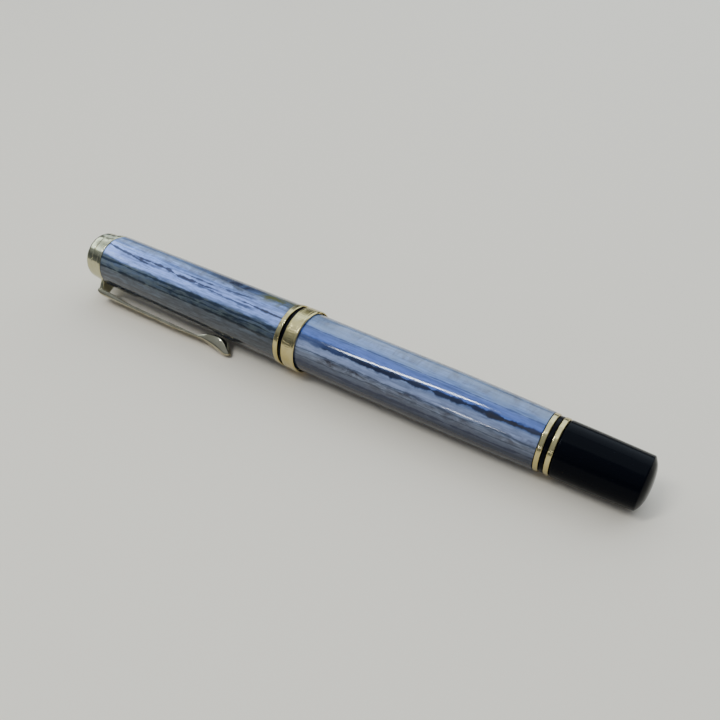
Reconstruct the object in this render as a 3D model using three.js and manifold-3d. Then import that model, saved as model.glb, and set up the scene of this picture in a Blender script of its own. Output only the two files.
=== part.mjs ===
// A capped rollerball pen, lying on its side with the clip turned down and to the front.
// Lengths are millimetres. Inside the pen group, x runs along the pen from the top end of the
// cap tube (x = 0) to the tail, and r is the distance from the pen's axis. Turned pieces are
// drawn as half sections, x against r, and revolved round the axis.
import * as THREE from 'three';
import { mergeVertices } from 'three/addons/utils/BufferGeometryUtils.js';
import Module from 'manifold-3d';

const wasm = await Module();
wasm.setup();

// ---------------------------------------------------------------- driving dimensions

const FINE = 36; // segments of the outer pieces and of the bores they turn in
const COARSE = 24; // segments of the small pieces inside
const ARC_STEPS = 4; // straight steps in each curved stretch of a half section
const FACE_GAP = 0.05; // between pieces that are clamped face to face

const crown = { end: -5.5, radius: 5.8, bore: 5.25, boss: 2.8, plate: 0.5 };
const crownCollar = { from: -3.3, radius: 5.92 };
const crownDisc = { radius: 4.2, recess: 0.35, proud: 0.1 };
const clip = {
  angle: THREE.MathUtils.degToRad(48.5), // round the axis, from straight down to the front
  root: -1.35,
  tip: 40.9,
  pad: 7.95, // radius of the inner face over the ring's lug
  padEnd: 3.0,
  flatStart: 9.0,
  inner: 8.56, // radius of the long flat inner face
  neckEnd: 31.5,
  outer: 9.42,
  taperStart: 24.0,
  neckOuter: 9.05,
  bulge: 6.85, // radius that the drop-shaped tip comes in to
  flare: 10.25, // radius that the tip's end stands out to
  rootWidth: 3.4,
  neckWidth: 2.4,
  tipWidth: 2.8,
};
const clipRing = { top: -1.2, radius: 6.35, bore: 2.9, lugFootWidth: 5.4, lugTopWidth: 3.2 };

const cap = { shoulder: 53.2, lip: 58.55, topRadius: 6.4, midRadius: 6.5, endRadius: 6.62 };
const capBore = { floor: 3.0, radius: 5.45, spigotEnd: 57.45, spigot: 6.0 };
const thinRing = { from: 53.25, to: 54.45, radius: 6.85 };
const ringSpacer = { from: 54.5, to: 55.25, radius: 6.5 };
const wideBand = { from: 55.3, radius: 6.9, mouth: 6.62, mouthDepth: 1.0 };
const screw = { end: -3.9, shank: 1.5, hole: 1.65, head: 3.0, headEnd: 3.9 };
const liner = { top: 4.3, floor: 5.1, end: 49.9, outer: 5.38, bore: 5.05 };
const seal = { thickness: 0.8, radius: 4.9 };

const barrel = { start: 57.65, end: 110.85, radius: 6.3, waist: 6.2, tail: 5.72, bore: 5.0 };
const barrelCurve = { belly: 80, middle: 90, taper: 104 }; // stations where its outline bends
const barrelWall = { from: 107.9, hole: 4.3 };
const insert = { front: 49.6, shoulder: 57.5, end: 69.0, sleeve: 4.92, bore: 4.5 };
const capThread = { from: 50.4, to: 56.7, root: 4.8, crest: 4.96 };
const bushThread = { root: 5.16, crest: 5.02, outer: 5.4 };
const sectionThread = { from: 50.2, to: 56.0, root: 4.1, crest: 4.27 };
const insertThread = { root: 4.5, crest: 4.36 };
const threadPitch = 1.4;

const grip = { front: 21.1, waist: 38, end: 49.45, rear: 58.9 };
const gripRadius = { front: 4.1, waist: 4.3, rear: 4.85, bore: 3.3 };
const gripRing = { from: 48.3, to: 49.3, seat: 4.4, radius: 4.95 };
const oRing = { at: 57.2, major: 3.95, minor: 0.28, sides: 6 };
const noseCone = { tip: 12.6, belly: 17.5, step: 18.0, bellyRadius: 3.5, endRadius: 4.05 };
const noseBore = { mouth: 1.35, tipRadius: 1.75, throat: 2.3, wide: 2.85, land: 0.5 };

const ball = { at: 10.05, radius: 0.35, socket: 0.42 };
const refillTip = { front: 10.02, shoulder: 12.3, shoulderRadius: 0.72, radius: 1.15 };
const tipTang = { end: 20.2, radius: 0.9 };
const holder = { front: 18.3, flange: 24.6, end: 26.8, radius: 2.45, spigotEnd: 29.4, duct: 0.55 };
const refill = { front: 26.9, end: 118.3, radius: 3.05, bore: 2.75, plugEnd: 120.4, plugDepth: 3 };
const inkCore = { from: 29.6, to: 114.2, radius: 2.65 };

const tailRingFront = { from: 110.9, to: 111.9, radius: 5.68 };
const tailSpacer = { from: 111.95, to: 112.8, radius: 5.45 };
const tailRingRear = { from: 112.85, to: 113.85, radius: 5.6 };
const knob = { from: 113.9, belly: 120, rim: 129.0, end: 130.3 };
const knobRadius = { start: 5.5, belly: 5.45, end: 5.12, dome: 3.6 };
const knobBore = { stud: 4.3, studDepth: 120.1, spring: 4.0, floor: 128.3 };
const stud = { from: 101.2, to: 119.9, radius: 4.22, bore: 3.35 };
const studNut = { from: 103.2, to: 107.85, radius: 4.9 };
const barrelLiner = { from: 69.1, to: 103.1, radius: 4.92, bore: 4.6 };
const spring = { from: 120.85, to: 124.1, mean: 2.55, wire: 0.22, turns: 3.5 };
const springSeat = { from: 124.45, to: 125.2, radius: 3.85, peg: 1.7, pegTip: 122.6 };
const tailWeight = { from: 125.25, to: 128.2, radius: 3.9 };

// ---------------------------------------------------------------- materials

const finish = (color, roughness, metalness) => () =>
  new THREE.MeshStandardMaterial({ color, roughness, metalness });
const marbledResin = finish(0x8795b0, 0.12, 0);
const polishedGold = finish(0xd9c48a, 0.15, 1);
const blackResin = finish(0x0c0d10, 0.1, 0);
const brass = finish(0xb8954f, 0.35, 1);
const steel = finish(0xb4b7ba, 0.25, 1);
const darkPlastic = finish(0x1b1c20, 0.45, 0);
const palePlastic = finish(0xcfd2d4, 0.5, 0);
const blackRubber = finish(0x151515, 0.8, 0);
const inkFibre = finish(0x23305e, 0.9, 0);

// ---------------------------------------------------------------- shape helpers

/** A half section: a path in x and r that starts at the first point given. */
function section(x, r) {
  return new THREE.Path().moveTo(x, r);
}

/** A closed half section revolved round the pen's axis. */
function revolved(path, segments = FINE, steps = ARC_STEPS) {
  const points = path.getPoints(steps).map((p) => new THREE.Vector2(p.y, p.x));
  if (THREE.ShapeUtils.area(points) < 0) points.reverse();
  return new THREE.LatheGeometry(points, segments).rotateZ(-Math.PI / 2);
}

function turned(name, material, path, segments) {
  return named(name, revolved(path, segments), material);
}

/** The half section of a plain ring, with a small chamfer on each outer edge. */
function ringSection({ from, to, radius }, bore, chamfer = 0.12) {
  return section(from, bore)
    .lineTo(from, radius - chamfer)
    .lineTo(from + chamfer, radius)
    .lineTo(to - chamfer, radius)
    .lineTo(to, radius - chamfer)
    .lineTo(to, bore)
    .lineTo(from, bore);
}

/** The half section of a plain disc or plug. */
function discSection({ from, to, radius }) {
  return section(from, 0).lineTo(from, radius).lineTo(to, radius).lineTo(to, 0);
}

/** Carries a half section along a row of thread ridges, from one station to the other. */
function ridges(path, from, to, root, crest) {
  const count = Math.floor(Math.abs(to - from) / threadPitch);
  const step = (to - from) / count;
  for (let i = 0; i < count; i += 1) {
    path.lineTo(from + i * step, root).lineTo(from + (i + 0.5) * step, crest);
  }
  return path.lineTo(to, root);
}

function named(name, geometry, material) {
  const mesh = new THREE.Mesh(geometry, material());
  mesh.name = name;
  return mesh;
}

function solidOf(geometry) {
  const bare = geometry.clone();
  bare.deleteAttribute('normal');
  bare.deleteAttribute('uv');
  const merged = mergeVertices(bare, 1e-4);
  return new wasm.Manifold(
    new wasm.Mesh({
      numProp: 3,
      vertProperties: new Float32Array(merged.attributes.position.array),
      triVerts: new Uint32Array(merged.index.array),
    }),
  );
}

function geometryOf(solid) {
  const mesh = solid.getMesh();
  const geometry = new THREE.BufferGeometry();
  geometry.setAttribute('position', new THREE.BufferAttribute(mesh.vertProperties, 3));
  geometry.setIndex(new THREE.BufferAttribute(mesh.triVerts, 1));
  geometry.computeVertexNormals();
  return geometry;
}

// ---------------------------------------------------------------- crown and clip ring

/** The end of the crown: a shell with a boss inside that the cap's screw holds. */
function crownKnob() {
  const { end, radius, bore, boss } = crown;
  const back = crownCollar.from - FACE_GAP;
  const recess = end + crownDisc.recess + FACE_GAP;
  const inside = recess + crown.plate;
  const path = section(screw.end - 0.15, 0)
    .lineTo(screw.end - 0.15, screw.hole)
    .lineTo(-FACE_GAP, screw.hole)
    .lineTo(-FACE_GAP, boss)
    .lineTo(inside, boss)
    .lineTo(inside, bore)
    .lineTo(back, bore)
    .lineTo(back, radius - 0.15)
    .lineTo(back - 0.15, radius)
    .lineTo(end + 0.6, radius)
    .quadraticCurveTo(end, radius - 0.05, end, radius - 0.6)
    .lineTo(end, crownDisc.radius + 0.1)
    .lineTo(recess, crownDisc.radius + 0.1)
    .lineTo(recess, 0);
  return turned('crown_knob', polishedGold, path);
}

function crownCollarRing() {
  const size = { ...crownCollar, to: clipRing.top - FACE_GAP };
  return turned('crown_collar', polishedGold, ringSection(size, crown.bore, 0.15));
}

function crownEndDisc() {
  const front = crown.end - crownDisc.proud;
  const back = crown.end + crownDisc.recess;
  const path = section(front, 0)
    .lineTo(front, crownDisc.radius - 0.15)
    .lineTo(front + 0.15, crownDisc.radius)
    .lineTo(back, crownDisc.radius)
    .lineTo(back, 0);
  return turned('crown_disc', polishedGold, path, COARSE);
}

function crownScrew() {
  const head = capBore.floor + FACE_GAP;
  const path = section(screw.end, 0)
    .lineTo(screw.end, screw.shank - 0.3)
    .lineTo(screw.end + 0.3, screw.shank)
    .lineTo(head, screw.shank)
    .lineTo(head, screw.head)
    .lineTo(screw.headEnd, screw.head)
    .lineTo(screw.headEnd, 0);
  return turned('crown_screw', steel, path, COARSE);
}

/** The washer under the crown, with the tapered lug that carries the clip. */
function clipRingWithLug() {
  const { top, radius, bore, lugFootWidth, lugTopWidth } = clipRing;
  const back = -FACE_GAP;
  const washer = revolved(ringSection({ from: top, to: back, radius }, bore));
  const foot = radius - 1.4;
  const head = clip.pad - FACE_GAP;
  const outline = new THREE.Shape()
    .moveTo(foot, -lugFootWidth / 2)
    .lineTo(head, -lugTopWidth / 2)
    .lineTo(head, lugTopWidth / 2)
    .lineTo(foot, lugFootWidth / 2);
  const lug = new THREE.ExtrudeGeometry(outline, { depth: back - top, bevelEnabled: false })
    .rotateY(Math.PI / 2)
    .translate(top, 0, 0)
    .rotateX(-clip.angle);
  return named('clip_ring', geometryOf(solidOf(washer).add(solidOf(lug))), polishedGold);
}

/** The clip seen from its side: x along the pen against the distance from the axis. */
function clipSideOutline() {
  const { root, tip, pad, inner, outer, neckEnd, neckOuter, bulge, flare } = clip;
  return new THREE.Shape()
    .moveTo(root, pad)
    .lineTo(root, pad + 0.75)
    .quadraticCurveTo(root + 0.1, outer, root + 2.2, outer)
    .lineTo(clip.taperStart, outer)
    .lineTo(neckEnd + 0.9, neckOuter)
    .quadraticCurveTo(neckEnd + 4, neckOuter + 0.25, tip - 0.9, flare)
    .quadraticCurveTo(tip, flare, tip, flare - 0.7)
    .quadraticCurveTo(tip - 1.2, bulge + 1, tip - 3.4, bulge)
    .quadraticCurveTo(neckEnd + 2.2, bulge, neckEnd, inner)
    .lineTo(clip.flatStart, inner)
    .lineTo(clip.padEnd, pad);
}

/** The clip seen from outside: x along the pen against the way across the clip. */
function clipPlanOutline() {
  const { root, tip, neckEnd } = clip;
  const [rootHalf, neckHalf, tipHalf] = [clip.rootWidth, clip.neckWidth, clip.tipWidth].map(
    (width) => width / 2,
  );
  return new THREE.Shape()
    .moveTo(root - 1, -rootHalf)
    .lineTo(0, -rootHalf)
    .lineTo(neckEnd, -neckHalf)
    .quadraticCurveTo(neckEnd + 2, -tipHalf, tip - 3.5, -tipHalf)
    .quadraticCurveTo(tip - 1, 0.2 - tipHalf, tip + 0.2, -0.35)
    .lineTo(tip + 0.2, 0.35)
    .quadraticCurveTo(tip - 1, tipHalf - 0.2, tip - 3.5, tipHalf)
    .quadraticCurveTo(neckEnd + 2, tipHalf, neckEnd, neckHalf)
    .lineTo(0, rootHalf)
    .lineTo(root - 1, rootHalf);
}

/** The clip: its two outlines, each extruded, and what they share. */
function clipArm() {
  const width = clip.rootWidth + 1;
  const height = clip.flare - clip.bulge + 2;
  const side = new THREE.ExtrudeGeometry(clipSideOutline(), {
    depth: width,
    bevelEnabled: false,
    curveSegments: 5,
  })
    .rotateX(-Math.PI / 2)
    .translate(0, -width / 2, 0);
  const plan = new THREE.ExtrudeGeometry(clipPlanOutline(), {
    depth: height,
    bevelEnabled: false,
    curveSegments: 4,
  }).translate(0, 0, -(clip.flare + 1));
  const arm = geometryOf(solidOf(side).intersect(solidOf(plan)));
  return named('clip_arm', arm.rotateX(-clip.angle), polishedGold);
}

// ---------------------------------------------------------------- cap

function capTube() {
  const path = section(0, screw.hole)
    .lineTo(0, cap.topRadius - 0.3)
    .lineTo(0.3, cap.topRadius)
    .quadraticCurveTo(cap.shoulder / 2, cap.midRadius, cap.shoulder, cap.endRadius)
    .lineTo(cap.shoulder, capBore.spigot)
    .lineTo(capBore.spigotEnd, capBore.spigot)
    .lineTo(capBore.spigotEnd, capBore.radius)
    .lineTo(capBore.floor, capBore.radius)
    .lineTo(capBore.floor, screw.hole)
    .lineTo(0, screw.hole);
  return turned('cap_tube', marbledResin, path);
}

/** The wide band at the mouth: its bore steps out where the barrel's shoulder enters. */
function wideCapBand() {
  const step = cap.lip - wideBand.mouthDepth;
  const bore = capBore.spigot + 0.05;
  const path = section(wideBand.from, bore)
    .lineTo(wideBand.from, wideBand.radius - 0.2)
    .lineTo(wideBand.from + 0.2, wideBand.radius)
    .lineTo(cap.lip - 0.2, wideBand.radius)
    .lineTo(cap.lip, wideBand.radius - 0.2)
    .lineTo(cap.lip, wideBand.mouth)
    .lineTo(step, wideBand.mouth)
    .lineTo(step, bore)
    .lineTo(wideBand.from, bore);
  return turned('wide_cap_band', polishedGold, path);
}

/** The threaded bush inside the cap's mouth. */
function capThreadBush() {
  const from = liner.end + 0.1;
  const to = capBore.spigotEnd - 0.1;
  const path = section(from, bushThread.outer).lineTo(to, bushThread.outer);
  ridges(path, to, from, bushThread.root, bushThread.crest);
  return turned('cap_thread_bush', brass, path.lineTo(from, bushThread.outer));
}

function innerCap() {
  const path = section(liner.top, 0)
    .lineTo(liner.top, liner.outer)
    .lineTo(liner.end, liner.outer)
    .lineTo(liner.end, liner.bore)
    .lineTo(liner.floor, liner.bore)
    .lineTo(liner.floor, 0);
  return turned('inner_cap', darkPlastic, path);
}

function tipSeal() {
  const from = liner.floor + FACE_GAP;
  const size = { from, to: from + seal.thickness, radius: seal.radius };
  return turned('tip_seal', blackRubber, discSection(size), COARSE);
}

function capRings() {
  const bore = capBore.spigot + 0.05;
  return [
    turned('thin_cap_ring', polishedGold, ringSection(thinRing, bore)),
    turned('cap_ring_spacer', blackResin, ringSection(ringSpacer, bore)),
    wideCapBand(),
  ];
}

// ---------------------------------------------------------------- grip section

function nose() {
  const { tip, step } = noseCone;
  const back = grip.front - 0.1;
  const path = section(tip, noseBore.mouth)
    .lineTo(tip, noseBore.tipRadius - 0.15)
    .lineTo(tip + 0.2, noseBore.tipRadius)
    .quadraticCurveTo(noseCone.belly, noseCone.bellyRadius, back, noseCone.endRadius)
    .lineTo(back, noseBore.wide)
    .lineTo(step, noseBore.wide)
    .lineTo(step, noseBore.throat)
    .lineTo(step - noseBore.land, noseBore.throat)
    .lineTo(tip + 2 * noseBore.land, noseBore.mouth)
    .lineTo(tip, noseBore.mouth);
  return turned('nose_cone', polishedGold, path);
}

function gripSection() {
  const { root, crest } = sectionThread;
  const ringSeat = gripRing.from - FACE_GAP;
  const groove = { from: oRing.at - 0.45, to: oRing.at + 0.45 };
  const grooveFloor = oRing.major - oRing.minor - 0.05;
  const path = section(grip.front, gripRadius.bore)
    .lineTo(grip.front, gripRadius.front)
    .quadraticCurveTo(grip.waist, gripRadius.waist, ringSeat, gripRadius.rear)
    .lineTo(ringSeat, gripRing.seat)
    .lineTo(grip.end, gripRing.seat)
    .lineTo(grip.end, root);
  ridges(path, sectionThread.from, sectionThread.to, root, crest)
    .lineTo(groove.from, root)
    .lineTo(groove.from, grooveFloor)
    .lineTo(groove.to, grooveFloor)
    .lineTo(groove.to, root)
    .lineTo(grip.rear, root)
    .lineTo(grip.rear, gripRadius.bore)
    .lineTo(grip.front, gripRadius.bore);
  return turned('grip_section', blackResin, path);
}

function gripTrimRing() {
  return turned('grip_ring', polishedGold, ringSection(gripRing, gripRing.seat + FACE_GAP));
}

function gripORing() {
  const path = new THREE.Path().absarc(oRing.at, oRing.major, oRing.minor, 0, 2 * Math.PI);
  return named('grip_o_ring', revolved(path, COARSE, oRing.sides), blackRubber);
}

// ---------------------------------------------------------------- refill

function refillTipPiece() {
  const socketFloor = ball.at + ball.socket;
  const shoulder = holder.front - FACE_GAP;
  const path = section(refillTip.front, ball.socket)
    .lineTo(refillTip.front, ball.socket + 0.07)
    .lineTo(refillTip.shoulder, refillTip.shoulderRadius)
    .lineTo(refillTip.shoulder + 0.3, refillTip.radius)
    .lineTo(shoulder, refillTip.radius)
    .lineTo(shoulder, tipTang.radius)
    .lineTo(tipTang.end, tipTang.radius)
    .lineTo(tipTang.end, 0)
    .lineTo(socketFloor, 0)
    .lineTo(socketFloor, ball.socket)
    .lineTo(refillTip.front, ball.socket);
  return turned('refill_tip', steel, path, COARSE);
}

function writingBall() {
  const geometry = new THREE.SphereGeometry(ball.radius, 16, 10).translate(ball.at, 0, 0);
  return named('writing_ball', geometry, steel);
}

function tipHolder() {
  const { front, flange, end, radius, spigotEnd, duct } = holder;
  const seat = tipTang.radius + 0.05;
  const flangeRadius = refill.radius - 0.05;
  const spigot = refill.bore - 0.05;
  const path = section(front, seat)
    .lineTo(front, radius)
    .lineTo(flange, radius)
    .lineTo(flange + 0.3, flangeRadius)
    .lineTo(end, flangeRadius)
    .lineTo(end, spigot)
    .lineTo(spigotEnd, spigot)
    .lineTo(spigotEnd, duct)
    .lineTo(tipTang.end + 0.1, duct)
    .lineTo(tipTang.end + 0.1, seat)
    .lineTo(front, seat);
  return turned('refill_tip_holder', darkPlastic, path, COARSE);
}

function refillTube() {
  const size = { from: refill.front, to: refill.end, radius: refill.radius };
  return turned('refill_tube', palePlastic, ringSection(size, refill.bore, 0.05), COARSE);
}

function inkReservoir() {
  return turned('ink_reservoir', inkFibre, discSection(inkCore), COARSE);
}

function refillEndPlug() {
  const { end, radius, plugEnd } = refill;
  const spigot = refill.bore - 0.05;
  const path = section(end - refill.plugDepth, 0)
    .lineTo(end - refill.plugDepth, spigot)
    .lineTo(end + FACE_GAP, spigot)
    .lineTo(end + FACE_GAP, radius - 0.05)
    .lineTo(plugEnd - 0.2, radius - 0.05)
    .lineTo(plugEnd, radius - 0.25)
    .lineTo(plugEnd, 0);
  return turned('refill_end_plug', darkPlastic, path, COARSE);
}

// ---------------------------------------------------------------- barrel

function barrelTube() {
  const path = section(barrel.start, barrel.bore)
    .lineTo(barrel.start, barrel.radius - 0.2)
    .lineTo(barrel.start + 0.3, barrel.radius)
    .quadraticCurveTo(barrelCurve.belly, barrel.radius, barrelCurve.middle, barrel.waist - 0.02)
    .quadraticCurveTo(barrelCurve.taper, barrel.waist - 0.2, barrel.end, barrel.tail)
    .lineTo(barrel.end, barrelWall.hole)
    .lineTo(barrelWall.from, barrelWall.hole)
    .lineTo(barrelWall.from, barrel.bore)
    .lineTo(barrel.start, barrel.bore);
  return turned('barrel_tube', marbledResin, path);
}

/** The brass nose of the barrel: the cap screws onto it and the grip section into it. */
function barrelInsert() {
  const { front, shoulder, end, sleeve, bore } = insert;
  const path = section(front, bore).lineTo(front, capThread.root);
  ridges(path, capThread.from, capThread.to, capThread.root, capThread.crest)
    .lineTo(shoulder, capThread.root)
    .lineTo(shoulder, sleeve)
    .lineTo(end, sleeve)
    .lineTo(end, bore);
  ridges(path, sectionThread.to, sectionThread.from, insertThread.root, insertThread.crest);
  return turned('barrel_insert', brass, path.lineTo(front, bore));
}

function tailRings() {
  const bore = knobBore.stud;
  return [
    turned('tail_ring_front', polishedGold, ringSection(tailRingFront, bore)),
    turned('tail_ring_spacer', blackResin, ringSection(tailSpacer, bore)),
    turned('tail_ring_rear', polishedGold, ringSection(tailRingRear, bore)),
  ];
}

function endKnob() {
  const { from, belly, rim, end } = knob;
  const path = section(from, knobBore.stud)
    .lineTo(from, knobRadius.start - 0.25)
    .lineTo(from + 0.25, knobRadius.start)
    .quadraticCurveTo(belly, knobRadius.belly, rim, knobRadius.end)
    .lineTo(rim + 0.2, knobRadius.end - 0.25)
    .quadraticCurveTo(end, knobRadius.dome, end, 0)
    .lineTo(knobBore.floor, 0)
    .lineTo(knobBore.floor, knobBore.spring)
    .lineTo(knobBore.studDepth, knobBore.spring)
    .lineTo(knobBore.studDepth, knobBore.stud)
    .lineTo(from, knobBore.stud);
  return turned('end_knob', blackResin, path);
}

function knobStud() {
  return turned('knob_stud', brass, ringSection(stud, stud.bore), COARSE);
}

/** The brass sleeve that stiffens the barrel, between the insert and the stud's nut. */
function barrelLinerSleeve() {
  return turned('barrel_liner', brass, ringSection(barrelLiner, barrelLiner.bore));
}

/** The nut that holds the stud against the barrel's end wall. */
function tailNut() {
  return turned('stud_nut', brass, ringSection(studNut, stud.radius + FACE_GAP), COARSE);
}

function tailWeightSlug() {
  return turned('tail_weight', brass, discSection(tailWeight), COARSE);
}

function refillSpring() {
  class Helix extends THREE.Curve {
    getPoint(t, target = new THREE.Vector3()) {
      const turn = 2 * Math.PI * spring.turns * t;
      const x = THREE.MathUtils.lerp(spring.from, spring.to, t);
      return target.set(x, spring.mean * Math.cos(turn), spring.mean * Math.sin(turn));
    }
  }
  const wire = new THREE.Shape().absarc(0, 0, spring.wire, 0, 2 * Math.PI);
  const geometry = new THREE.ExtrudeGeometry(wire, {
    steps: 16 * spring.turns,
    curveSegments: 3,
    extrudePath: new Helix(),
  });
  return named('refill_spring', geometry, steel);
}

function springSeatPiece() {
  const path = section(springSeat.pegTip, 0)
    .lineTo(springSeat.pegTip, springSeat.peg)
    .lineTo(springSeat.from, springSeat.peg)
    .lineTo(springSeat.from, springSeat.radius)
    .lineTo(springSeat.to, springSeat.radius)
    .lineTo(springSeat.to, 0);
  return turned('spring_seat', palePlastic, path, COARSE);
}

// ---------------------------------------------------------------- assembly

function group(...meshes) {
  return new THREE.Group().add(...meshes);
}

const crownAssembly = group(
  crownKnob(), crownCollarRing(), crownEndDisc(), crownScrew(), clipRingWithLug(), clipArm(),
);
const capAssembly = group(capTube(), ...capRings(), capThreadBush(), innerCap(), tipSeal());
const gripAssembly = group(nose(), gripSection(), gripTrimRing(), gripORing());
const refillAssembly = group(
  refillTipPiece(), writingBall(), tipHolder(), refillTube(), inkReservoir(), refillEndPlug(),
);
const barrelAssembly = group(
  barrelTube(), barrelInsert(), barrelLinerSleeve(), ...tailRings(), endKnob(), knobStud(),
  tailNut(), tailWeightSlug(), refillSpring(), springSeatPiece(),
);

const pen = group(crownAssembly, capAssembly, gripAssembly, refillAssembly, barrelAssembly);

// The origin is the middle of the pen's box, on the level of its lowest point.
const box = new THREE.Box3().setFromObject(pen, true);
const middle = box.getCenter(new THREE.Vector3());
pen.position.set(-middle.x, -middle.y, -box.min.z);

export default group(pen);
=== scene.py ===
"""A capped rollerball pen lying on a pale table.

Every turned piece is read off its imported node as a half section, its corners are rounded, and it
is revolved again with fine facets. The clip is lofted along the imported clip. The finishes are
procedural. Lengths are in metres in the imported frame: +X runs from the crown to the end knob.
"""

import math

import bmesh
import bpy
import numpy as np
from mathutils import Matrix, Vector


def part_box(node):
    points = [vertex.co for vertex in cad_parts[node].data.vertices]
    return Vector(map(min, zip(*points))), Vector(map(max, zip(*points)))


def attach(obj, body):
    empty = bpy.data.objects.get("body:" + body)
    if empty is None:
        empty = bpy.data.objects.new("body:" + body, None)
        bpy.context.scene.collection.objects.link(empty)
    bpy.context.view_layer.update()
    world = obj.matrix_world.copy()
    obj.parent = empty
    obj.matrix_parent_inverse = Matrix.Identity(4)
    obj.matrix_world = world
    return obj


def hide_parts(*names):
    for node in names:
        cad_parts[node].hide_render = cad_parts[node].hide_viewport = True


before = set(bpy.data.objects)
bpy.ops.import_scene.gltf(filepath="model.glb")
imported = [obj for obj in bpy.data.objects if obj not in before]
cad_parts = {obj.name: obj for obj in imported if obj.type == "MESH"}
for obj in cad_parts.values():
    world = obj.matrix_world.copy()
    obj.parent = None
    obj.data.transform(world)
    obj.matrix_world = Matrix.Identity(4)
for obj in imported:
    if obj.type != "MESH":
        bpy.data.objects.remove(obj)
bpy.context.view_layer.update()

MM = 0.001

# ---------------------------------------------------------------- where things are


def middle(node):
    low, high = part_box(node)
    return (low + high) / 2


AXIS = middle("wide_cap_band")  # a point on the pen's axis
CAP_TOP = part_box("cap_tube")[0].x
CLIP_ANGLE = math.radians(48.5)  # round the axis, from straight down towards -Y
CLIP_OUT = Vector((0, -math.sin(CLIP_ANGLE), -math.cos(CLIP_ANGLE)))
CLIP_SIDE = Vector((0, math.cos(CLIP_ANGLE), -math.sin(CLIP_ANGLE)))


def on_axis(x):
    return Vector((x, AXIS.y, AXIS.z))


# ---------------------------------------------------------------- turned pieces

SHARP_TURN = math.radians(32)  # a half section turns less than this along a smooth curve
ARC_STEP = math.radians(9)
LINK = 6  # decimals, in metres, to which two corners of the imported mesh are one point
ON_PLANE = 3e-6  # metres: a corner this near the cutting plane lies on it
STRAIGHT = 0.99999  # cosine of the turn below which an outline runs straight on


def half_section(node):
    """The (x, r) points of a turned node's outline over the axis, in order, and whether it closes."""
    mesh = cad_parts[node].data
    points = [
        (round(v.co.x, LINK), round(v.co.y - AXIS.y, LINK), round(v.co.z - AXIS.z, LINK))
        for v in mesh.vertices
    ]
    links = {}
    for edge in mesh.edges:
        a, b = (points[i] for i in edge.vertices)
        if a != b and all(abs(p[1]) < ON_PLANE and p[2] > -ON_PLANE for p in (a, b)):
            a, b = (a[0], a[2]), (b[0], b[2])
            links.setdefault(a, set()).add(b)
            links.setdefault(b, set()).add(a)
    ends = sorted(p for p, near in links.items() if len(near) == 1)
    start = ends[0] if ends else min(links)
    path, seen = [start], {start}
    while True:
        onward = sorted(links[path[-1]] - seen)
        if not onward:
            break
        path.append(onward[0])
        seen.add(onward[0])
    return [Vector((x, max(r, 0))) for x, r in path], not ends


def without_straights(points, closed):
    """The outline with no point in the middle of a straight stretch."""
    kept = []
    for i, p in enumerate(points):
        inner = closed or 0 < i < len(points) - 1
        ahead = (points[(i + 1) % len(points)] - p).normalized()
        behind = (p - points[i - 1]).normalized()
        if not inner or ahead.dot(behind) < STRAIGHT:
            kept.append(p)
    return kept


def rounded(points, closed, fillet):
    """The outline with an arc at each corner: a small one at an edge, a long one along a curve.

    A short straight, hold, on both sides of a small arc keeps the shading of the faces beside it.
    """
    most = 0.46  # of an edge's length that an arc at one of its ends may take
    out = []
    for i, p in enumerate(points):
        if not closed and i in (0, len(points) - 1):
            out.append(p)
            continue
        back, on = points[i - 1] - p, points[(i + 1) % len(points)] - p
        turn = (-back).angle(on, 0)
        room = most * min(back.length, on.length)
        sharp = turn > SHARP_TURN
        cut = min(fillet, room) if sharp else room
        a, b = p + back.normalized() * cut, p + on.normalized() * cut
        hold = min(0.5 * cut + 0.05 * MM, 0.48 * min(back.length, on.length) - cut)
        steps = max(2, math.ceil(turn / ARC_STEP))
        if sharp and hold > 0:
            out.append(a + back.normalized() * hold)
        for s in range(steps + 1):
            t = s / steps
            out.append(a * (1 - t) ** 2 + p * 2 * t * (1 - t) + b * t**2)
        if sharp and hold > 0:
            out.append(b + on.normalized() * hold)
    return out


def revolved(name, points, closed, segments, radius_at=None):
    """A mesh object: the outline turned round the axis. radius_at(x, r, angle) may carve it."""
    mesh = bpy.data.meshes.new(name)
    obj = bpy.data.objects.new(name, mesh)
    bpy.context.scene.collection.objects.link(obj)
    bm = bmesh.new()
    rings = []
    for p in points:
        if p.y < 1e-7:
            rings.append([bm.verts.new(on_axis(p.x))] * segments)
            continue
        ring = []
        for k in range(segments):
            angle = 2 * math.pi * k / segments
            r = radius_at(p.x, p.y, angle) if radius_at else p.y
            offset = Vector((0, -math.sin(angle) * r, math.cos(angle) * r))
            ring.append(bm.verts.new(on_axis(p.x) + offset))
        rings.append(ring)
    pairs = list(zip(rings, rings[1:] + rings[:1] if closed else rings[1:]))
    for one, two in pairs:
        for k in range(segments):
            n = (k + 1) % segments
            corners = list(dict.fromkeys((one[k], one[n], two[n], two[k])))
            if len(corners) > 2:
                bm.faces.new(corners)
    bmesh.ops.recalc_face_normals(bm, faces=bm.faces)
    bm.to_mesh(mesh)
    bm.free()
    mesh.shade_smooth()
    return obj


def fine(node, body, fillet, segments):
    """Replaces a turned CAD node with a finely turned piece of the same section."""
    points, closed = half_section(node)
    points = rounded(without_straights(points, closed), closed, fillet)
    piece = revolved(node + "_fine", points, closed, segments)
    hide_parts(node)
    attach(piece, body)
    return piece


# ---------------------------------------------------------------- node helpers


def srgb(red, green, blue):
    """A display colour, 0 to 255 each, as the linear colour that sockets take."""
    return tuple(
        c / 12.92 if c <= 0.04045 else ((c + 0.055) / 1.055) ** 2.4
        for c in (red / 255, green / 255, blue / 255)
    ) + (1.0,)


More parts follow.
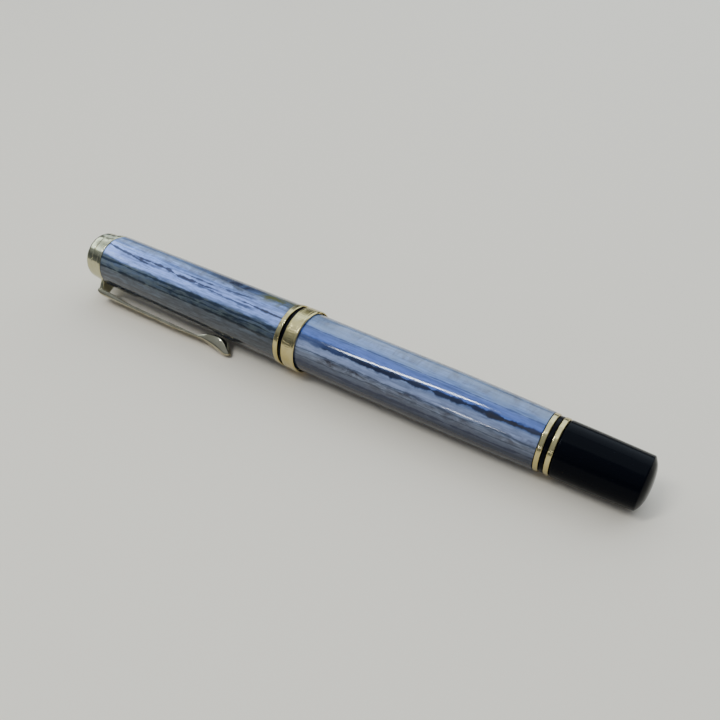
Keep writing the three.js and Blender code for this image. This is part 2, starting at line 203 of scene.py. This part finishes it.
class Finish:
    """A material under construction: add() makes a node and sets or links its inputs."""

    def __init__(self, name):
        self.material = bpy.data.materials.new(name)
        self.material.use_nodes = True
        self.tree = self.material.node_tree
        self.shader = self.tree.nodes["Principled BSDF"]
        self.coords = self.add("ShaderNodeTexCoord").outputs["Object"]

    def add(self, kind, inputs=None, **settings):
        made = self.tree.nodes.new(kind)
        for key, value in settings.items():
            setattr(made, key, value)
        for key, value in (inputs or {}).items():
            self.feed(made.inputs[key], value)
        return made

    def feed(self, socket, value):
        if isinstance(value, bpy.types.NodeSocket):
            self.tree.links.new(value, socket)
        else:
            socket.default_value = value

    def set(self, **values):
        for key, value in values.items():
            self.feed(self.shader.inputs[key.replace("_", " ")], value)

    def math(self, operation, a, b=0.0, c=0.0):
        made = self.add("ShaderNodeMath", {0: a, 1: b, 2: c}, operation=operation)
        return made.outputs[0]

    def ramp(self, factor, stops):
        """A ramp through stops of (place, grey level or colour)."""
        made = self.add("ShaderNodeValToRGB", {"Fac": factor})
        elements = made.color_ramp.elements
        while len(elements) < len(stops):
            elements.new(0.5)
        for element, (place, colour) in zip(elements, stops):
            element.position = place
            element.color = colour if hasattr(colour, "__len__") else (colour,) * 3 + (1,)
        return made.outputs["Color"]

    def noise(self, stretch, detail=3.0, roughness=0.55, distortion=0.0, shift=(0, 0, 0)):
        """Noise whose grain is stretch = (x, y, z) metres long."""
        scale = tuple(1 / s for s in stretch)
        placed = self.add(
            "ShaderNodeMapping",
            {"Vector": self.coords, "Scale": scale, "Location": shift},
        ).outputs[0]
        return self.add(
            "ShaderNodeTexNoise",
            {
                "Vector": placed,
                "Scale": 1.0,
                "Detail": detail,
                "Roughness": roughness,
                "Distortion": distortion,
            },
        ).outputs[0]

    def mix(self, factor, a, b, blend="MIX"):
        """Mixes two colours. The node's colour sockets come after those for numbers and vectors."""
        made = self.add("ShaderNodeMix", data_type="RGBA", blend_type=blend)
        for socket, value in ((0, factor), (6, a), (7, b)):
            self.feed(made.inputs[socket], value)
        return made.outputs[2]

    def bump(self, height, distance):
        made = self.add("ShaderNodeBump", {"Height": height, "Distance": distance, "Strength": 1.0})
        self.feed(self.shader.inputs["Normal"], made.outputs[0])

    def turn(self):
        """How far round the pen a point is, from 0 to 1: 0.5 on top, rising towards -Y."""
        parts = self.add("ShaderNodeSeparateXYZ", {0: self.coords}).outputs
        front = self.math("SUBTRACT", AXIS.y, parts[1])
        up = self.math("SUBTRACT", parts[2], AXIS.z)
        angle = self.math("ARCTAN2", front, up)
        return self.math("MULTIPLY_ADD", angle, 0.5 / math.pi, 0.5), parts[0]


def wear(finish, low, high):
    """Roughness that wanders between two values, as handling leaves it."""
    grain = 0.0011
    patches = finish.noise((grain * 6, grain * 2, grain * 2), detail=4)
    span = finish.add(
        "ShaderNodeMapRange",
        {"Value": patches, "From Min": 0.3, "From Max": 0.7, "To Min": low, "To Max": high},
    )
    finish.set(Roughness=span.outputs[0])


# ---------------------------------------------------------------- finishes


def degrees_turn(degrees):
    """An angle round the pen, 0 on top and rising towards -Y, as a part of a turn."""
    return 0.5 + degrees / 360


def stretch_along(f, x, start, end, fade=3.0):
    """1 between two stations, in mm from the top of the cap tube, fading to 0 beyond them."""
    edges = []
    for station, sign in ((start, 1), (end, -1)):
        at = CAP_TOP + station * MM
        limits = {"Value": x, "From Min": at - sign * fade * MM, "From Max": at}
        edges.append(f.add("ShaderNodeMapRange", limits).outputs[0])
    return f.math("MULTIPLY", *edges)


def vein(f, place, colour, line, tone, strength, shift):
    """Draws one wandering, broken line along the pen over a colour.

    line is (start mm, end mm, degrees at the start, degrees at the end, width, wander).
    """
    turn, x = place
    start, end, first, last, width, wander = line
    slope = (last - first) / 360 / ((end - start) * MM)
    jag = 0.35 * wander
    base = degrees_turn(first) - slope * (CAP_TOP + start * MM) - (wander + jag) / 360
    centre = f.math("MULTIPLY_ADD", x, slope, base)
    sway = f.noise((0.0062, 0.05, 0.05), detail=1, shift=shift)
    centre = f.math("MULTIPLY_ADD", sway, 2 * wander / 360, centre)
    teeth = f.noise((0.0014, 0.0030, 0.0030), detail=3, roughness=0.7, shift=shift)
    centre = f.math("MULTIPLY_ADD", teeth, 2 * jag / 360, centre)
    apart = f.math("ABSOLUTE", f.math("SUBTRACT", turn, centre))
    swell = f.noise((0.0026, 0.02, 0.02), detail=3, shift=(shift[1], shift[2], shift[0]))
    reach = f.math("MULTIPLY_ADD", swell, 3.0 * width / 360, -0.9 * width / 360)
    near = f.math("DIVIDE", apart, f.math("MAXIMUM", reach, 0.12 * width / 360))
    mask = f.ramp(near, [(0.45, strength), (1.0, 0.0)])
    mask = f.math("MULTIPLY", mask, stretch_along(f, x, start, end))
    return f.mix(mask, colour, tone)


def cloud_and_shade_patch(f, place, colour, patch, tone, strength, grain, shift):
    """Lays a cloudy patch over a colour: patch is (start mm, end mm, degrees from, degrees to).

    grain is the size of its clouds in mm along X, Y and Z.
    """
    turn, x = place
    start, end, low, high = patch
    soft = 7 / 360
    edges = []
    for edge, outside in ((degrees_turn(low), -soft), (degrees_turn(high), soft)):
        limits = {"Value": turn, "From Min": edge + outside, "From Max": edge}
        edges.append(f.add("ShaderNodeMapRange", limits).outputs[0])
    stretch = tuple(g * MM for g in grain)
    cloud = f.noise(stretch, detail=4, roughness=0.62, distortion=0.6, shift=shift)
    cloud = f.ramp(cloud, [(0.40, 0.0), (0.62, strength)])
    mask = f.math("MULTIPLY", f.math("MULTIPLY", *edges), cloud)
    mask = f.math("MULTIPLY", mask, stretch_along(f, x, start, end))
    return f.mix(mask, colour, tone)


def marbled_resin(name, bands, shift, veins, clouds_and_shade, contrast, ends):
    """Cast resin with lengthwise veins: bands of colour round the pen, bent and combed by noise.

    ends is (start mm, end mm, brightness at the start, brightness at the end): painted light that
    makes the colour paler towards the end where more light falls.
    """
    f = Finish(name)
    turn, x = f.turn()
    place = (turn, x)
    sway = f.noise((0.022, 0.0060, 0.0060), detail=2, shift=shift)
    comb = f.noise((0.0060, 0.0009, 0.0009), detail=4, roughness=0.66, shift=shift)
    bend, comb_bend = 0.050, 0.036
    bent = f.math("MULTIPLY_ADD", sway, bend, turn)
    bent = f.math("MULTIPLY_ADD", comb, comb_bend, bent)
    bent = f.math("SUBTRACT", bent, (bend + comb_bend) / 2)
    # The bands hold painted light as well as the resin's colour: on the cap, a painted highlight on
    # top.
    colour = f.ramp(bent, [(degrees_turn(angle), srgb(*tone)) for angle, tone in bands])
    combs = ((0.013, 0.00075, 1.0), (0.0075, 0.00022, 0.6), (0.002, 0.0005, 0.7))
    for grain, across, depth in combs:
        streaks = f.noise((grain, across, across), detail=3, roughness=0.6, shift=shift)
        low, high = 1 - depth * contrast, 1 + 0.5 * depth * contrast
        shade = f.ramp(streaks, [(0.34, low), (0.50, 1.0), (0.66, high)])
        colour = f.mix(1.0, colour, shade, "MULTIPLY")
    # Cloudy patches of marbling; on top of the cap some of them are painted shade.
    for patch, tone, strength, grain in clouds_and_shade:
        colour = cloud_and_shade_patch(f, place, colour, patch, srgb(*tone), strength, grain, shift)
    for number, (line, tone, strength) in enumerate(veins):
        offset = (shift[0] + number, shift[1], shift[2] + 2 * number)
        colour = vein(f, place, colour, line, srgb(*tone), strength, offset)
    # Painted light: the colour is multiplied up or down along the pen, paler towards the end that the
    # light falls on.
    start, end, first, last = ends
    reach = {"Value": x, "From Min": CAP_TOP + start * MM, "From Max": CAP_TOP + end * MM}
    painted_light_ramp = f.add("ShaderNodeMapRange", {**reach, "To Min": first, "To Max": last}).outputs[0]
    colour = f.mix(1.0, colour, painted_light_ramp, "MULTIPLY")
    f.set(Base_Color=colour, IOR=1.5, Specular_IOR_Level=0.42)
    wear(f, 0.05, 0.12)
    ripple = f.noise((0.02, 0.003, 0.003), detail=2)
    f.bump(ripple, 0.00003)
    return f.material


def gold(name, dull, bright, grain=(0.0004, 0.004, 0.004), polish=(0.09, 0.20)):
    """Pale polished gold plate with faint hairlines and slightly warmer, duller patches."""
    f = Finish(name)
    patches = f.noise((0.003, 0.003, 0.003), detail=4)
    tone = f.ramp(patches, [(0.3, dull), (0.7, bright)])
    f.set(Base_Color=tone, Metallic=1.0)
    wear(f, *polish)
    hairlines = f.noise(grain, detail=2)
    f.bump(hairlines, 0.000004)
    return f.material


def black_gloss(name):
    """Black resin, polished, with dust-fine pits and a few lighter specks."""
    f = Finish(name)
    specks = f.noise((0.00035, 0.00035, 0.00035), detail=1)
    tone = f.ramp(specks, [(0.74, srgb(4, 6, 12)), (0.80, srgb(22, 26, 36))])
    f.set(Base_Color=tone, IOR=1.46, Specular_IOR_Level=0.05)
    wear(f, 0.10, 0.20)
    f.bump(f.noise((0.006, 0.002, 0.002), detail=3), 0.00002)
    return f.material


def turned_metal(name, light, dark, roughness):
    """Metal with the fine rings that a lathe tool leaves."""
    f = Finish(name)
    pitch, round_the_piece = 0.00018, 0.02
    rings = f.noise((pitch, round_the_piece, round_the_piece), detail=2)
    tone = f.ramp(rings, [(0.35, dark), (0.65, light)])
    f.set(Base_Color=tone, Metallic=1.0)
    wear(f, roughness * 0.7, roughness * 1.3)
    f.bump(rings, 0.000012)
    return f.material


def moulded_plastic(name, light, dark, roughness):
    """Satin plastic with a fine moulded grain."""
    f = Finish(name)
    grain = f.noise((0.0005, 0.0005, 0.0005), detail=4)
    tone = f.ramp(grain, [(0.3, dark), (0.7, light)])
    f.set(Base_Color=tone)
    wear(f, roughness * 0.8, roughness * 1.2)
    f.bump(grain, 0.00001)
    return f.material


def ink_fibre(name):
    """Bonded fibres running along the refill, soaked with ink."""
    f = Finish(name)
    fibres = f.noise((0.008, 0.00012, 0.00012), detail=3)
    tone = f.ramp(fibres, [(0.3, srgb(20, 26, 66)), (0.7, srgb(52, 66, 128))])
    f.set(Base_Color=tone, Roughness=0.85)
    f.bump(fibres, 0.00003)
    return f.material


# (degrees round the pen, colour) of each band, then the lines and clouds drawn over them; on the cap,
# the pale blue bands on top hold a painted highlight
CAP_BANDS_AND_HIGHLIGHT = [
    (-180, (70, 78, 98)),
    (-110, (58, 68, 90)),
    (-60, (72, 84, 106)),
    (-28, (82, 96, 118)),
    (-8, (92, 116, 158)),
    # Painted highlight: from 8 to 42 degrees, on top of the cap, the bands are paler and bluer than
    # the resin, as the light overhead makes them look.
    (8, (134, 163, 232)),
    (20, (139, 160, 220)),
    (30, (144, 168, 236)),
    (42, (136, 160, 222)),
    (46, (66, 81, 104)),
    (57, (71, 80, 95)),
    (67, (42, 52, 64)),
    (74, (68, 76, 86)),
    (96, (64, 70, 78)),
    (112, (42, 46, 54)),
    (180, (70, 78, 98)),
]
CAP_VEINS = [
    ((0, 58, 50, 50, 4.5, 2), (22, 34, 50), 0.85),
    ((0, 58, 67, 68, 4.5, 2), (18, 26, 36), 0.9),
    ((20, 58, 59, 57, 3.0, 3), (22, 34, 42), 0.8),
    ((0, 14, 16, 26, 5.5, 3), (50, 54, 70), 0.9),
    ((11, 33, 20, 25, 5.5, 4), (48, 50, 66), 0.9),
    ((27, 43, 16, 11, 4.0, 4), (48, 50, 62), 0.8),
    ((30, 44, 29, 31, 4.0, 4), (50, 54, 70), 0.75),
    ((43, 58, 24, 26, 4.0, 3), (46, 46, 54), 0.9),
    ((0, 58, 87, 86, 3.0, 4), (48, 50, 56), 0.6),
    ((0, 58, -74, -70, 6.0, 4), (42, 50, 72), 0.8),
    ((0, 40, -118, -124, 4.0, 5), (52, 50, 60), 0.8),
    ((12, 58, -150, -144, 7.0, 4), (34, 42, 62), 0.85),
    ((0, 58, 150, 146, 5.0, 4), (40, 48, 66), 0.8),
]
CAP_CLOUDS_AND_SHADE = [
    ((0, 58, 47, 68), (84, 92, 92), 0.75, (2.6, 0.8, 0.8)),
    # Partly marbling and partly painted shade: these clouds darken the top of the cap from 27 to 58
    # mm, where it catches less light.
    ((30, 58, -34, -2), (56, 62, 76), 0.8, (5, 1.6, 1.6)),
    ((27, 58, -14, 9), (84, 100, 134), 0.75, (5, 1.8, 1.8)),
    ((34, 43, -30, 4), (44, 50, 70), 0.9, (9, 9, 9)),
    ((35, 42, -24, 2), (32, 36, 54), 0.95, (3, 2.2, 2.2)),
    ((46, 58, -30, 4), (84, 86, 48), 0.85, (5, 3, 3)),
    ((47, 56, -24, 1), (86, 86, 46), 0.9, (3.4, 2.2, 2.2)),
    ((0, 35, -60, 4), (78, 80, 92), 0.6, (1.6, 4, 4)),
    ((0, 58, 72, 112), (46, 48, 52), 0.6, (4, 1.2, 1.2)),
]
BARREL_BANDS = [
    (-180, (80, 90, 114)),
    (-110, (56, 66, 90)),
    (-60, (94, 108, 130)),
    (-20, (108, 122, 147)),
    (0, (115, 138, 180)),
    (14, (105, 132, 184)),
    (20, (79, 104, 168)),
    (34, (80, 109, 186)),
    (40, (76, 96, 138)),
    (47, (128, 143, 178)),
    (58, (139, 152, 187)),
    (66, (122, 131, 150)),
    (80, (86, 93, 110)),
    (94, (44, 52, 72)),
    (110, (32, 36, 48)),
    (180, (80, 90, 114)),
]
BARREL_VEINS = [
    ((57, 112, 18, 18, 2.4, 1), (54, 72, 118), 0.8),
    ((65, 80, 44, 44, 8.0, 1), (22, 32, 58), 0.95),
    ((57, 68, 44, 44, 9.0, 1), (48, 62, 104), 0.7),
    ((74, 106, 44, 37, 9.0, 2), (22, 30, 54), 0.95),
    ((101, 112, 41, 36, 7.0, 2), (40, 40, 50), 0.9),
    ((57, 69, 40, 37, 8.0, 2), (50, 64, 106), 0.7),
    ((57, 112, 62, 64, 2.6, 4), (64, 72, 88), 0.7),
    ((57, 112, 90, 87, 5.0, 3), (30, 38, 64), 0.8),
    ((57, 112, 76, 75, 2.6, 4), (50, 58, 74), 0.7),
    ((57, 112, -62, -66, 5.0, 4), (60, 68, 92), 0.8),
    ((66, 112, -104, -98, 7.0, 4), (34, 42, 66), 0.85),
    ((57, 100, -142, -148, 4.0, 5), (56, 54, 64), 0.8),
    ((57, 112, 152, 156, 6.0, 4), (40, 48, 72), 0.85),
]
BARREL_SMUDGES = [
    ((57, 112, -60, 4), (84, 84, 88), 0.6, (2.0, 7, 7)),
    ((57, 112, -20, 14), (122, 142, 172), 0.6, (7, 3, 3)),
    ((66, 76, 65, 73), (40, 34, 38), 0.9, (3, 1, 1)),
    ((78, 97, 62, 80), (54, 50, 58), 0.8, (4, 1.2, 1.2)),
    ((104, 112, 56, 72), (60, 58, 66), 0.7, (4, 1.2, 1.2)),
]

FINISHES = {
    # The last figures of each resin are painted light: the cap paler towards the crown, the barrel a
    # little paler towards the band.
    "cap_resin": marbled_resin(
        "cap_resin", CAP_BANDS_AND_HIGHLIGHT, (3.1, 7.7, 1.9), CAP_VEINS, CAP_CLOUDS_AND_SHADE, 0.42, (0, 40, 1.48, 0.98)
    ),
    "barrel_resin": marbled_resin(
        "barrel_resin",
        BARREL_BANDS,
        (8.4, 2.3, 5.2),
        BARREL_VEINS,
        BARREL_SMUDGES,
        0.26,
        (57, 111, 1.03, 0.97),
    ),
    "gold": gold("gold", srgb(184, 168, 112), srgb(198, 186, 138)),
    "crown_gold": gold("crown_gold", srgb(174, 170, 136), srgb(190, 187, 157)),
    "clip_gold": gold(
        "clip_gold",
        srgb(160, 152, 126),
        srgb(184, 178, 154),
        grain=(0.006, 0.0004, 0.0004),
        polish=(0.04, 0.09),
    ),
    "black": black_gloss("black_gloss"),
    "brass": turned_metal("brass", srgb(202, 170, 106), srgb(168, 132, 74), 0.30),
    "steel": turned_metal("steel", srgb(196, 198, 202), srgb(150, 152, 158), 0.26),
    "dark_plastic": moulded_plastic("dark_plastic", srgb(42, 43, 48), srgb(26, 27, 31), 0.45),
    "pale_plastic": moulded_plastic(
        "pale_plastic", srgb(214, 217, 219), srgb(196, 200, 203), 0.42
    ),
    "rubber": moulded_plastic("rubber", srgb(38, 38, 38), srgb(22, 22, 22), 0.8),
    "ink": ink_fibre("ink_fibre"),
}


def dress(piece, finish):
    """Gives a piece its finish."""
    piece.data.materials.clear()
    piece.data.materials.append(FINISHES[finish])


# ---------------------------------------------------------------- the pieces

# node: (body, finish, slot, fillet in mm, facets round)
TURNED = {
    "crown_knob": ("cap", "crown_gold", "polished_gold", 0.16, 160),
    "crown_collar": ("cap", "crown_gold", "polished_gold", 0.16, 160),
    "crown_disc": ("cap", "crown_gold", "polished_gold", 0.08, 128),
    "crown_screw": ("cap", "steel", "steel", 0.1, 64),
    "cap_tube": ("cap", "cap_resin", "marbled_resin", 0.12, 192),
    "thin_cap_ring": ("cap", "gold", "polished_gold", 0.18, 160),
    "cap_ring_spacer": ("cap", "black", "black_resin", 0.06, 160),
    "cap_thread_bush": ("cap", "brass", "brass", 0.04, 96),
    "inner_cap": ("cap_liner", "dark_plastic", "dark_plastic", 0.12, 96),
    "tip_seal": ("cap_liner", "rubber", "black_rubber", 0.15, 64),
    "nose_cone": ("grip_nose", "gold", "polished_gold", 0.1, 128),
    "grip_section": ("grip", "black", "black_resin", 0.06, 128),
    "grip_ring": ("grip", "gold", "polished_gold", 0.14, 128),
    "grip_o_ring": ("grip", "rubber", "black_rubber", 0.1, 64),
    "refill_tip": ("refill", "steel", "steel", 0.05, 64),
    "writing_ball": ("ball", "steel", "steel", 0.05, 48),
    "refill_tip_holder": ("refill", "dark_plastic", "dark_plastic", 0.1, 64),
    "refill_tube": ("refill", "pale_plastic", "pale_plastic", 0.04, 96),
    "ink_reservoir": ("refill", "ink", "ink_fibre", 0.1, 48),
    "refill_end_plug": ("refill", "dark_plastic", "dark_plastic", 0.1, 64),
    "barrel_tube": ("barrel", "barrel_resin", "marbled_resin", 0.1, 192),
    "barrel_insert": ("barrel", "brass", "brass", 0.04, 96),
    "barrel_liner": ("barrel", "brass", "brass", 0.06, 96),
    "tail_ring_front": ("barrel", "gold", "polished_gold", 0.16, 160),
    "tail_ring_spacer": ("barrel", "black", "black_resin", 0.06, 160),
    "tail_ring_rear": ("barrel", "gold", "polished_gold", 0.16, 160),
    "end_knob": ("barrel", "black", "black_resin", 0.16, 192),
    "knob_stud": ("barrel", "brass", "brass", 0.06, 64),
    "stud_nut": ("barrel", "brass", "brass", 0.08, 64),
    "tail_weight": ("barrel", "brass", "brass", 0.1, 64),
    "spring_seat": ("barrel", "pale_plastic", "pale_plastic", 0.1, 64),
}


def make_turned():
    """Every turned piece but the wide band and the clip's ring."""
    for node, (body, finish, slot, fillet, segments) in TURNED.items():
        dress(fine(node, body, fillet * MM, segments), finish)


def make_wide_band():
    """The wide band, with a row of small engraved bars between two hairlines."""
    low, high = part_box("wide_cap_band")
    outer = high.z - AXIS.z
    bars, samples_per_bar, bar_share = 80, 8, 0.34
    depth, half_height = 0.014 * MM, 0.5 * MM
    hairline_at, hairline_reach = 0.86 * MM, 0.05 * MM
    centre = (low.x + high.x) / 2
    edges = (0.45, 0.49, 0.51, 0.55, 0.76, 0.80, 0.82, 0.86, 0.90, 0.92, 0.96)
    stations = [centre + side * edge * MM for edge in edges for side in (-1, 1)]

    def carved(x, r, angle):
        if r < outer - 0.02 * MM:
            return r
        along = abs(x - centre)
        hairline = abs(along - hairline_at) < hairline_reach
        bar = along < half_height and (angle * bars / (2 * math.pi)) % 1 < bar_share
        return r - depth if bar or hairline else r

    points, closed = half_section("wide_cap_band")
    points = rounded(without_straights(points, closed), closed, 0.16 * MM)
    fine_points = []
    for p, q in zip(points, points[1:] + points[:1]):
        fine_points.append(p)
        if min(p.y, q.y) > outer - 1e-6:
            between = [x for x in stations if min(p.x, q.x) < x < max(p.x, q.x)]
            stops = sorted(between, reverse=q.x < p.x)
            fine_points += [p.lerp(q, (x - p.x) / (q.x - p.x)) for x in stops]
    segments = samples_per_bar * bars
    piece = revolved("wide_cap_band_fine", fine_points, closed, segments, carved)
    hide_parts("wide_cap_band")
    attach(piece, "cap")
    dress(piece, "gold")


# ---------------------------------------------------------------- the clip


def clip_slice(x):
    """(inner radius, outer radius, half width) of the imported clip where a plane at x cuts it."""
    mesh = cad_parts["clip_arm"].data
    cuts = []
    for edge in mesh.edges:
        a, b = (mesh.vertices[i].co for i in edge.vertices)
        if (a.x - x) * (b.x - x) < 0:
            p = a.lerp(b, (x - a.x) / (b.x - a.x)) - on_axis(x)
            cuts.append((p.dot(CLIP_OUT), abs(p.dot(CLIP_SIDE))))
    heights = [c[0] for c in cuts]
    return min(heights), max(heights), max(c[1] for c in cuts)


def lofted(name, loops):
    """A closed mesh through a row of loops with equal counts, capped at both ends."""
    mesh = bpy.data.meshes.new(name)
    obj = bpy.data.objects.new(name, mesh)
    bpy.context.scene.collection.objects.link(obj)
    bm = bmesh.new()
    rows = [[bm.verts.new(p) for p in loop] for loop in loops]
    for one, two in zip(rows, rows[1:]):
        for k in range(len(one)):
            n = (k + 1) % len(one)
            bm.faces.new((one[k], one[n], two[n], two[k]))
    bm.faces.new(rows[0])
    bm.faces.new(rows[-1])
    bmesh.ops.recalc_face_normals(bm, faces=bm.faces)
    bm.to_mesh(mesh)
    bm.free()
    mesh.shade_smooth()
    return obj


def softened_box(half_width, half_height, square_in, square_out, count=40):
    """A cross-section (side, out): a superellipse, squarer towards the cap than on its outside."""
    loop = []
    for k in range(count):
        angle = 2 * math.pi * (k + 0.5) / count
        c, s = math.cos(angle), math.sin(angle)
        power = 2 / (square_out if s > 0 else square_in)
        side = math.copysign(abs(c) ** power, c) * half_width
        out = math.copysign(abs(s) ** power, s) * half_height
        loop.append((side, out))
    return loop


def make_clip():
    """The clip, lofted through smoothed cross-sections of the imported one, with rounded ends."""
    low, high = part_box("clip_arm")
    count, smoothings = 150, 6
    square_in, square_out = 7.0, 3.2
    edge = 0.01 * MM
    xs = np.linspace(low.x + edge, high.x - edge, count)
    slices = np.array([clip_slice(x) for x in xs])
    for _ in range(smoothings):
        slices[1:-1] = (slices[:-2] + 2 * slices[1:-1] + slices[2:]) / 4
    round_end = 0.35 * MM
    loops = []
    for x, (inner, outer, half_width) in zip(xs, slices):
        from_end = min(x - low.x, high.x - x) / round_end
        swell = math.sqrt(max(0.0, 1 - max(0.0, 1 - from_end) ** 2))
        half_height = (outer - inner) / 2 * max(swell, 0.15)
        centre = on_axis(x) + CLIP_OUT * (inner + outer) / 2
        section = softened_box(half_width * max(swell, 0.3), half_height, square_in, square_out)
        loops.append([centre + CLIP_SIDE * side + CLIP_OUT * out for side, out in section])
    piece = lofted("clip_arm_fine", loops)
    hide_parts("clip_arm")
    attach(piece, "clip")
    dress(piece, "clip_gold")


def lug_loops():
    """Cross-sections of the lug, from inside the washer out to the clip, narrowing on the way."""
    low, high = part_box("clip_ring")
    centre = on_axis((low.x + high.x) / 2)
    root, gap = 1.0 * MM, 0.02 * MM
    foot = (high.z - AXIS.z) - root
    top = clip_slice(centre.x)[0] - gap
    half_length = (high.x - low.x) / 2 * 0.97
    foot_width, taper, waist = 2.55 * MM, 1.05 * MM, 0.12 * MM
    squareness, corners, steps = 5, 32, 12
    loops = []
    for step in range(steps + 1):
        t = step / steps
        out = CLIP_OUT * (foot + (top - foot) * t)
        half_width = foot_width - taper * t - waist * math.sin(math.pi * t)
        section = softened_box(half_width, half_length, squareness, squareness, corners)
        loops.append([centre + out + CLIP_SIDE * a + Vector((b, 0, 0)) for a, b in section])
    return loops


def make_clip_ring():
    """The washer under the crown, joined to the lug that stands out from it to the clip."""
    points, closed = half_section("clip_ring")
    points = rounded(without_straights(points, closed), closed, 0.14 * MM)
    washer = revolved("clip_ring_fine", points, closed, 160)
    lug = lofted("clip_lug", lug_loops())
    join = washer.modifiers.new("join", "BOOLEAN")
    join.operation, join.object, join.solver = "UNION", lug, "EXACT"
    bpy.context.view_layer.update()
    evaluated = washer.evaluated_get(bpy.context.evaluated_depsgraph_get())
    washer_mesh = bpy.data.meshes.new_from_object(evaluated)
    washer.modifiers.clear()
    washer.data = washer_mesh
    bpy.data.objects.remove(lug)
    washer.data.shade_smooth()
    washer.data.set_sharp_from_angle(angle=math.radians(40))
    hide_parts("clip_ring")
    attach(washer, "cap")
    dress(washer, "crown_gold")


def make_spring():
    """The refill spring, drawn again as a round wire with flattened end turns."""
    low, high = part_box("refill_spring")
    wire = 0.22 * MM
    coil = (high.z - low.z) / 2 - wire
    turns, steps, sides = 3.5, 220, 14
    first, last = low.x + wire, high.x - wire
    along = Vector((1, 0, 0))
    round_wire = [2 * math.pi * k / sides for k in range(sides)]
    loops = []
    for i in range(steps + 1):
        t = i / steps
        angle = 2 * math.pi * turns * t
        x = first + (last - first) * (t - 0.08 * math.sin(2 * math.pi * t))
        out = Vector((0, math.cos(angle), math.sin(angle)))
        centre = on_axis(x) + out * coil
        loops.append(
            [centre + (out * math.cos(a) + along * math.sin(a)) * wire for a in round_wire]
        )
    piece = lofted("refill_spring_fine", loops)
    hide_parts("refill_spring")
    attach(piece, "barrel")
    dress(piece, "steel")


make_turned()
make_wide_band()
make_clip()
make_clip_ring()
make_spring()

# ---------------------------------------------------------------- floor, lights and camera


def make_floor():
    """A pale table top. It tilts to meet the pen, which rests on its cap band and its barrel."""
    band_low, band_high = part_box("wide_cap_band")
    rest = Vector((band_high.x, 0, band_low.z))
    behind = [
        vertex.co - rest
        for piece in ("barrel_tube_fine", "tail_ring_front_fine", "end_knob_fine")
        for vertex in bpy.data.objects[piece].data.vertices
        if vertex.co.x > rest.x + 10 * MM
    ]
    slope = min(math.atan2(point.z, point.x) for point in behind)
    mesh = bpy.data.meshes.new("table_top")
    half = 15.0
    corners = [(-half, -half, 0), (half, -half, 0), (half, half, 0), (-half, half, 0)]
    mesh.from_pydata(corners, [], [(0, 1, 2, 3)])
    floor = bpy.data.objects.new("table_top", mesh)
    bpy.context.scene.collection.objects.link(floor)
    floor.matrix_world = Matrix.Translation(rest) @ Matrix.Rotation(-slope, 4, "Y")
    f = Finish("table_top")
    f.set(Base_Color=srgb(236, 223, 202), Roughness=0.62)
    mesh.materials.append(f.material)


def area_light(name, place, size, power, colour=(1, 1, 1), along=(1, 0, 0)):
    """A rectangular light aimed at the pen, with its first side laid along a direction."""
    light = bpy.data.lights.new(name, "AREA")
    light.shape, light.size, light.size_y = "RECTANGLE", size[0], size[1]
    light.energy, light.color = power, colour
    obj = bpy.data.objects.new(name, light)
    bpy.context.scene.collection.objects.link(obj)
    out = Vector(place) - on_axis(0.0)
    across = out.cross(Vector(along)).normalized()
    turned = Matrix((across.cross(out).normalized(), across, out.normalized())).transposed()
    obj.matrix_world = Matrix.Translation(place) @ turned.to_4x4()
    return obj


def make_world():
    """A soft grey room: pale at the horizon, dark above it and bright overhead."""
    world = bpy.data.worlds.new("studio")
    bpy.context.scene.world = world
    world.use_nodes = True
    nodes, links = world.node_tree.nodes, world.node_tree.links
    coords = nodes.new("ShaderNodeTexCoord")
    parts = nodes.new("ShaderNodeSeparateXYZ")
    links.new(coords.outputs["Generated"], parts.inputs[0])
    ramp = nodes.new("ShaderNodeValToRGB")
    links.new(parts.outputs[2], ramp.inputs[0])
    elements = ramp.color_ramp.elements
    stops = [(0.0, 0.32), (0.10, 0.20), (0.28, 0.12), (0.48, 0.42), (1.0, 0.60)]
    tint = (0.84, 0.94, 1.10)
    while len(elements) < len(stops):
        elements.new(0.5)
    for element, (place, level) in zip(elements, stops):
        element.position = place
        element.color = tuple(channel * level for channel in tint) + (1,)
    background = nodes["Background"]
    links.new(ramp.outputs[0], background.inputs["Color"])
    background.inputs["Strength"].default_value = 1.0


def make_lights():
    """Soft lights behind and above, and narrow ones for the thin lines of gloss along the pen."""
    make_world()
    area_light("back_softbox", (0.13, 1.05, 0.80), (1.8, 1.2), 12.4, (0.80, 0.93, 1.05))
    area_light(
        "left_softbox", (-0.97, 0.86, 0.98), (0.34, 1.48), 2.3, (0.76, 0.92, 1.08), (0.66, 0.75, 0)
    )
    area_light("top_softbox", (-0.30, 0.10, 1.6), (1.4, 1.4), 6.6, (0.86, 0.96, 1.05))
    area_light("left_window", (-0.84, 0.0, 0.64), (0.9, 0.10), 1.1, (0.76, 0.91, 1.0), (0, 1, 0))
    area_light(
        "window_strip", (-0.287, -0.333, 0.80), (0.38, 0.030), 3.1, (0.90, 0.97, 1.03), (0.68, 0.73, 0)
    )
    area_light("low_strip", (-0.147, -0.753, 0.225), (0.09, 0.012), 0.22, along=(0.93, -0.30, 0))


def make_camera():
    """Looks down along the pen from its tail end, as far off as a phone is held."""
    distance, azimuth, elevation = 0.1487, math.radians(33.4), math.radians(39.6)
    aim = on_axis(CAP_TOP + 70.2 * MM) + Vector((0, 0.8 * MM, 0))
    back = Vector(
        (
            math.sin(azimuth) * math.cos(elevation),
            -math.cos(azimuth) * math.cos(elevation),
            math.sin(elevation),
        )
    )
    data = bpy.data.cameras.new("camera")
    data.lens, data.sensor_width = 36.1, 36.0
    data.clip_start = 0.01
    camera = bpy.data.objects.new("camera", data)
    bpy.context.scene.collection.objects.link(camera)
    camera.location = aim + back * distance
    camera.rotation_euler = (-back).to_track_quat("-Z", "Y").to_euler()
    bpy.context.scene.camera = camera


make_floor()
make_lights()
make_camera()
